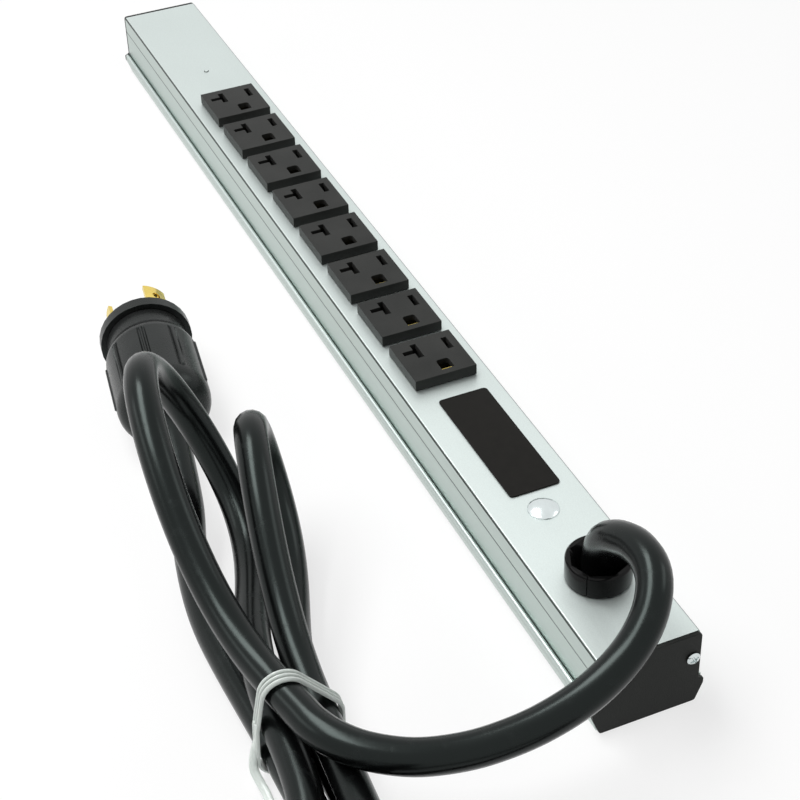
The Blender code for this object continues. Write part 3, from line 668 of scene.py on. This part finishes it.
class STRIP_OT_set_stage(bpy.types.Operator):
    """Make the camera, the lamps and the pale floor"""
    bl_idname = "strip.set_stage"
    bl_label = "Set the stage"

    def execute(self, context):
        scene = context.scene
        scene.view_settings.view_transform = "Standard"
        self.place_camera(scene)
        for lamp in LAMPS:
            self.hang_lamp(scene, *lamp)
        self.make_room(scene)
        self.make_floor(scene)
        return {"FINISHED"}

    def place_camera(self, scene):
        lens = bpy.data.cameras.new("camera")
        lens.lens = CAMERA_LENS
        lens.sensor_width = CAMERA_SENSOR
        lens.clip_start = CAMERA_NEAR
        camera = bpy.data.objects.new("camera", lens)
        turn = Matrix((CAMERA_RIGHT, CAMERA_UP, CAMERA_BACK)).transposed().to_4x4()
        camera.matrix_world = Matrix.Translation(CAMERA_PLACE) @ turn
        scene.collection.objects.link(camera)
        scene.camera = camera

    def hang_lamp(self, scene, name, place, width, depth, power):
        light = bpy.data.lights.new(name, "AREA")
        light.shape = "RECTANGLE"
        light.size = width
        light.size_y = depth
        light.energy = power
        lamp = bpy.data.objects.new(name, light)
        lamp.location = place
        lamp.rotation_euler = (LAMP_AIM - Vector(place)).to_track_quat("-Z", "Y").to_euler()
        scene.collection.objects.link(lamp)

    def seen(self, nodes):
        """One for rays from the camera, a gloss or a clear piece, and none for the rest."""
        rays = nodes.add("ShaderNodeLightPath", {}, {})
        camera, gloss, clear = (Value(nodes, rays.outputs[kind]) for kind in
                                ("Is Camera Ray", "Is Glossy Ray", "Is Transmission Ray"))
        return camera.larger(gloss).larger(clear)

    def make_room(self, scene):
        """White all round where it is seen, and an even light elsewhere."""
        room = bpy.data.worlds.new("room")
        nodes = Nodes(room)
        level = nodes.value("ShaderNodeMix", {},
                            {0: self.seen(nodes), 2: scene.strip_sizes.sky, 3: 1.0})
        back = nodes.value("ShaderNodeBackground", {}, {"Color": WHITE, "Strength": level})
        nodes.add("ShaderNodeOutputWorld", {}, {"Surface": back})
        scene.world = room

    def make_floor(self, scene):
        """A pale floor that glows a little where it is seen, and keeps the shadow."""
        bm = bmesh.new()
        bmesh.ops.create_grid(bm, x_segments=2, y_segments=2, size=FLOOR_HALF)
        mesh = bpy.data.meshes.new("floor")
        bm.to_mesh(mesh)
        bm.free()
        floor = bpy.data.objects.new("floor", mesh)
        floor.location.z = -FLOOR_DROP
        scene.collection.objects.link(floor)
        paper = bpy.data.materials.new("pale_paper")
        nodes = Nodes(paper)
        matt = nodes.value("ShaderNodeBsdfDiffuse", {}, {"Color": PAPER})
        glow = nodes.value("ShaderNodeEmission", {}, {"Color": WHITE, "Strength": 1.0})
        share = self.seen(nodes) * FLOOR_GLOW
        both = nodes.value("ShaderNodeMixShader", {}, {0: share, 1: matt, 2: glow})
        nodes.add("ShaderNodeOutputMaterial", {}, {"Surface": both})
        mesh.materials.append(paper)


class STRIP_OT_build_plug(bpy.types.Operator):
    """Build the plug: its ribbed barrel, its flange and its blades"""
    bl_idname = "strip.build_plug"
    bl_label = "Build the plug"

    def execute(self, context):
        rib = context.scene.strip_sizes.rib_height

        def ribbed(angle, along):
            if not RIB_FROM < along < RIB_TO:
                return 0.0
            apart = abs((angle - RIB_PHASE + 180.0 / RIBS) % (360.0 / RIBS) - 180.0 / RIBS)
            if apart < RIB_REACH:
                return rib
            return -rib if apart < RECESS_REACH else 0.0

        profile = [(radius, along) for along, radius in BARREL]
        barrel = lathe("plug_barrel", profile, BARREL_SIDES, plug_frame(), ribbed)
        piece("plug_barrel", barrel, "plug", "plug_black", "plug_body")
        rounded_piece("plug_flange", "plug_face", "plug", "plug_black", FLANGE_ROUND, segments=2)
        for line, angle in BLADES.items():
            name = "blade_" + line
            piece(name, self.blade(name, angle), "brass", "brass", "plug_blade_" + line)
        return {"FINISHED"}

    def blade(self, name, middle):
        """A curved locking blade with a round hole near its tip."""
        centre, hole = BLADE_HOLE
        ahead = BLADE_TO - centre
        behind = centre - BLADE_FROM
        corners = [math.atan2(way, side) for way in (ahead, -behind)
                   for side in (BLADE_HALF_WIDTH, -BLADE_HALF_WIDTH)]
        turns = sorted([math.radians(360.0 / BLADE_HOLE_SIDES * step) - math.pi
                        for step in range(BLADE_HOLE_SIDES)] + corners)
        place = plug_frame()
        rings = []
        for half, at_hole in ((1, True), (1, False), (-1, False), (-1, True), (1, True)):
            radius = BLADE_RING + half * BLADE_HALF_THICK
            ring = []
            for turn in turns:
                across, along = math.cos(turn), math.sin(turn)
                reach = hole
                if not at_hole:
                    reach = min(BLADE_HALF_WIDTH / max(abs(across), TINY),
                                (ahead if along > 0 else behind) / max(abs(along), TINY))
                angle = math.radians(middle) + across * reach / BLADE_RING
                ring.append(place @ (round_point(radius, angle, centre + along * reach) * MM))
            rings.append(ring)
        bm = bmesh.new()
        skin_rings(bm, rings, False)
        bmesh.ops.remove_doubles(bm, verts=bm.verts, dist=SAME_POINT)
        return mesh_from(name, bm)


class STRIP_OT_lay_cord(bpy.types.Operator):
    """Lay the cord from the bushing through its tied loops to the plug"""
    bl_idname = "strip.lay_cord"
    bl_label = "Lay the cord"

    def execute(self, context):
        diameter = context.scene.strip_sizes.cord_diameter
        route = cord_route(diameter)
        curve = bpy.data.curves.new("power_cord", "CURVE")
        curve.dimensions = "3D"
        curve.bevel_depth = diameter / 2
        curve.bevel_resolution = CORD_ROUNDNESS
        curve.use_fill_caps = True
        spline = curve.splines.new("POLY")
        spline.points.add(len(route) - 1)
        for point, place in zip(spline.points, route):
            point.co = (*place, 1.0)
        spline.use_smooth = True
        cord = piece("power_cord", curve, "cord", "cord_jacket",
                     "cord_lead", "cord_hank", "cord_plug_run")
        names = ["plug_barrel", "plug_flange", "cord_tie_band"]
        names += ["blade_" + line for line in BLADES]
        return {"FINISHED"}


class STRIP_OT_wrap_tie(bpy.types.Operator):
    """Wrap the ribbed tie round the hank and let its end hang"""
    bl_idname = "strip.wrap_tie"
    bl_label = "Wrap the tie"

    def execute(self, context):
        radius = context.scene.strip_sizes.cord_diameter / 2 + TIE_CLEAR
        centres = [(across - TIE_FORWARD * math.tan(math.radians(slant)), height)
                   for across, height, slant in PASSES]
        ahead = heading_vector(WAIST_HEADING)
        right = waist_right()
        middle = Vector((*WAIST, 0.0)) + ahead * TIE_FORWARD
        profile, thin = self.section()
        rings = []
        for index, start, end in TIE_CORNERS:
            across, height = centres[index]
            base = middle + right * across + Vector((0.0, 0.0, height))
            for step in range(TIE_CORNER_STEPS + 1):
                angle = math.radians(start + (end - start) * step / TIE_CORNER_STEPS)
                normal = right * math.cos(angle) + Vector((0.0, 0.0, math.sin(angle)))
                rings.append([base + normal * (radius + high) - ahead * along
                              for along, high in profile])
        bm = bmesh.new()
        # Each point's thinness, kept for the painted shade in the grooves
        groove_shade = bm.verts.layers.float.new("groove_shade")
        skin_rings(bm, rings + rings[:1], False)
        for index, vert in enumerate(bm.verts):
            vert[groove_shade] = thin[index % len(thin)]
        bmesh.ops.remove_doubles(bm, verts=bm.verts, dist=SAME_POINT)
        self.hang_tail(bm)
        band = mesh_from("cord_tie_band", bm, TIE_SMOOTH)
        piece("cord_tie_band", band, "tie", "clear_tie", "cord_tie")
        return {"FINISHED"}

    def section(self):
        """The band's ridged outside, then its flat inside, and how thin it is at each point."""
        last = RIDGES * RIDGE_POINTS
        inset = RIDGE_POINTS / 2
        ridge = [abs(math.sin(math.pi * step / RIDGE_POINTS)) ** RIDGE_CURVE
                 for step in range(last + 1)]
        profile = [(TIE_WIDTH * (step / last - 0.5), TIE_SKIN + RIDGE_HEIGHT * high)
                   for step, high in enumerate(ridge)]
        # How thin the band is sets the painted shade in its grooves
        thin = [1.0 - high if inset < step < last - inset else 0.0
                for step, high in enumerate(ridge)]
        return profile + [(TIE_WIDTH / 2, 0.0), (-TIE_WIDTH / 2, 0.0)], thin + [0.0, 0.0]

    def hang_tail(self, bm):
        """The loose end of the tie, which drops to the floor beside the cord."""
        path = smooth_route([Vector(knot) * MM for knot in TAIL_ROUTE], TAIL_STEP)
        left = -waist_right()
        angles = [2 * math.pi * side / TAIL_SIDES for side in range(TAIL_SIDES)]
        rings = []
        for index, place in enumerate(path):
            ahead = (path[min(index + 1, len(path) - 1)] - path[max(index - 1, 0)]).normalized()
            turned = left.lerp(TAIL_FACING, min(1.0, 2.0 * index / len(path)))
            thin = (turned - ahead * turned.dot(ahead)).normalized()
            flat = ahead.cross(thin)
            rings.append([place + flat * (TAIL_HALF_WIDTH * math.cos(angle))
                          + thin * (TAIL_HALF_THICK * math.sin(angle)) for angle in angles])
        skin_rings(bm, rings, True)


class STRIP_OT_finish_body(bpy.types.Operator):
    """Finish the body, its base rail, the end caps, the label, the hole plug and what is inside"""
    bl_idname = "strip.finish_body"
    bl_label = "Finish the body"

    def execute(self, context):
        paint("cover", "aluminium")
        rounded_piece("base_rail", "base", "aluminium", "aluminium_satin", RAIL_ROUND, segments=3)
        for end in ("blank", "cord"):
            rounded_piece("end_plate_" + end, "end_cap_" + end, "cap", "cap_plastic",
                          CAP_ROUND, segments=3)
        rounded_piece("plain_label", "label_plate", "label", "label_black", LABEL_ROUND, segments=2)
        low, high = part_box("hole_plug")
        middle = (low + high) / 2
        seat = Matrix.Translation((middle.x, middle.y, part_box("cover")[1].z))
        dome = lathe("hole_dome", DOME, DOME_SIDES, seat)
        piece("hole_dome", dome, "steel", "zinc_steel", "hole_plug")
        paint("ground_rivet", "aluminium")
        paint("insulating_liner", "fibre")
        for line in LINES:
            paint("bus_bar_" + line, "brass")
            paint("wire_" + line, "wire")
        return {"FINISHED"}


class STRIP_OT_finish_outlets(bpy.types.Operator):
    """Round the outlets' moulded edges and finish their contacts"""
    bl_idname = "strip.finish_outlets"
    bl_label = "Finish the outlets"

    def execute(self, context):
        edge = context.scene.strip_sizes.edge_round
        for number in range(1, OUTLETS + 1):
            rounded_piece("outlet_%d" % number, "receptacle_%d" % number, "outlet",
                          "outlet_black", edge, segments=2)
            paint("ground_tab_%d" % number, "brass")
        return {"FINISHED"}


class STRIP_OT_finish_bushing(bpy.types.Operator):
    """Build the two halves of the cord bushing"""
    bl_idname = "strip.finish_bushing"
    bl_label = "Finish the bushing"

    def execute(self, context):
        for side, start in (("left", 180.0), ("right", 0.0)):
            node = "bushing_half_" + side
            name = "bushing_" + side
            piece(name, self.half_ring(name, node, start), "nylon", "gloss_black", node)
        return {"FINISHED"}

    def half_ring(self, name, node, start):
        """One half of the ring, with a faceted mouth and a narrow seam in its skin."""
        low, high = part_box(node)
        seat = high.z / MM - BUSHING_RIM
        centre = Vector((CORD_EXIT[0], CORD_EXIT[1], seat * MM))
        seams = [seam for seam in BUSHING_SEAMS if start < seam < start + 180.0]
        angles = [start + 180.0 * step / BUSHING_STEPS for step in range(BUSHING_STEPS + 1)]
        for seam in seams:
            angles = [angle for angle in angles if abs(angle - seam) > SEAM_CLEAR]
            angles += [seam - SEAM_EDGE, seam - SEAM_BOTTOM, seam + SEAM_BOTTOM, seam + SEAM_EDGE]
        rings = []
        for angle in sorted(angles):
            in_seam = any(abs(angle - seam) < (SEAM_EDGE + SEAM_BOTTOM) / 2 for seam in seams)
            turn = math.radians(angle)
            half_facet = MOUTH_FACET / 2
            facet = (math.cos(math.radians(half_facet))
                     / math.cos(math.radians(angle % MOUTH_FACET - half_facet)))
            ring = []
            for radius, height, part in BUSHING_LINES:
                reach = radius * facet if part == "mouth" else radius
                rise = low.z / MM - seat if height is None else height
                if in_seam and part == "skin":
                    reach -= SEAM_DEPTH
                    rise -= SEAM_DROP if height > BUSHING_RIM / 2 else 0.0
                ring.append(centre + round_point(reach, turn, rise) * MM)
            rings.append(ring)
        bm = bmesh.new()
        skin_rings(bm, rings, True)
        return mesh_from(name, bm, BUSHING_SMOOTH)


class STRIP_OT_fit_screws(bpy.types.Operator):
    """Make the cross-slot screws of the end caps"""
    bl_idname = "strip.fit_screws"
    bl_label = "Fit the screws"

    def execute(self, context):
        for end, way in (("blank", -1.0), ("cord", 1.0)):
            for side in ("left", "right"):
                node = "end_cap_%s_screw_%s" % (end, side)
                low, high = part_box(node)
                middle = (low + high) / 2
                outer = high.x if way > 0 else low.x
                place = Matrix.Translation((outer, middle.y, middle.z))
                turn = (place @ Matrix.Rotation(way * math.pi / 2, 4, "Y")
                        @ Matrix.Rotation(SCREW_TURN, 4, "Z"))
                name = "cap_screw_%s_%s" % (end, side)
                piece(name, self.head(name, turn), "steel", "zinc_steel", node)
        return {"FINISHED"}

    def head(self, name, turn):
        """A domed head with a cross cut into it, on its shank."""
        angles = [2 * math.pi * side / SCREW_SIDES for side in range(SCREW_SIDES)]
        rings = []
        for share in SCREW_RINGS:
            ring = []
            for angle in angles:
                x = share * SCREW_HEAD * math.cos(angle)
                y = share * SCREW_HEAD * math.sin(angle)
                z = -SCREW_DOME * share ** SCREW_CURVE
                if min(abs(x), abs(y)) < CROSS_HALF and max(abs(x), abs(y)) < CROSS_REACH:
                    z -= CROSS_DEPTH
                ring.append(turn @ Vector((x, y, z)))
            rings.append(ring)
        for radius, along in SCREW_SHANK:
            rings.append([turn @ round_point(radius, angle, along) for angle in angles])
        bm = bmesh.new()
        skin_rings(bm, rings, True)
        return mesh_from(name, bm, SCREW_SMOOTH)


class STRIP_PT_panel(bpy.types.Panel):
    """Lists the steps that dress the strip"""
    bl_idname = "STRIP_PT_panel"
    bl_label = "Power strip"
    bl_space_type = "VIEW_3D"
    bl_region_type = "UI"
    bl_category = "Power strip"

    def draw(self, context):
        for step in STEPS:
            self.layout.operator(step.bl_idname)


STEPS = (STRIP_OT_set_stage, STRIP_OT_build_plug, STRIP_OT_wrap_tie, STRIP_OT_lay_cord,
         STRIP_OT_finish_body, STRIP_OT_finish_outlets, STRIP_OT_finish_bushing,
         STRIP_OT_fit_screws)
CLASSES = (StripColours, StripSizes) + STEPS + (STRIP_PT_panel,)


def register():
    for kind in CLASSES:
        bpy.utils.register_class(kind)
    bpy.types.Scene.strip_colours = bpy.props.PointerProperty(type=StripColours)
    bpy.types.Scene.strip_sizes = bpy.props.PointerProperty(type=StripSizes)


def unregister():
    del bpy.types.Scene.strip_sizes
    del bpy.types.Scene.strip_colours
    for kind in reversed(CLASSES):
        bpy.utils.unregister_class(kind)


def main():
    register()
    bpy.ops.strip.set_stage()
    bpy.ops.strip.build_plug()
    bpy.ops.strip.wrap_tie()
    bpy.ops.strip.lay_cord()
    bpy.ops.strip.finish_body()
    bpy.ops.strip.finish_outlets()
    bpy.ops.strip.finish_bushing()
    bpy.ops.strip.fit_screws()
    bpy.context.view_layer.update()


if __name__ == "__main__":
    main()
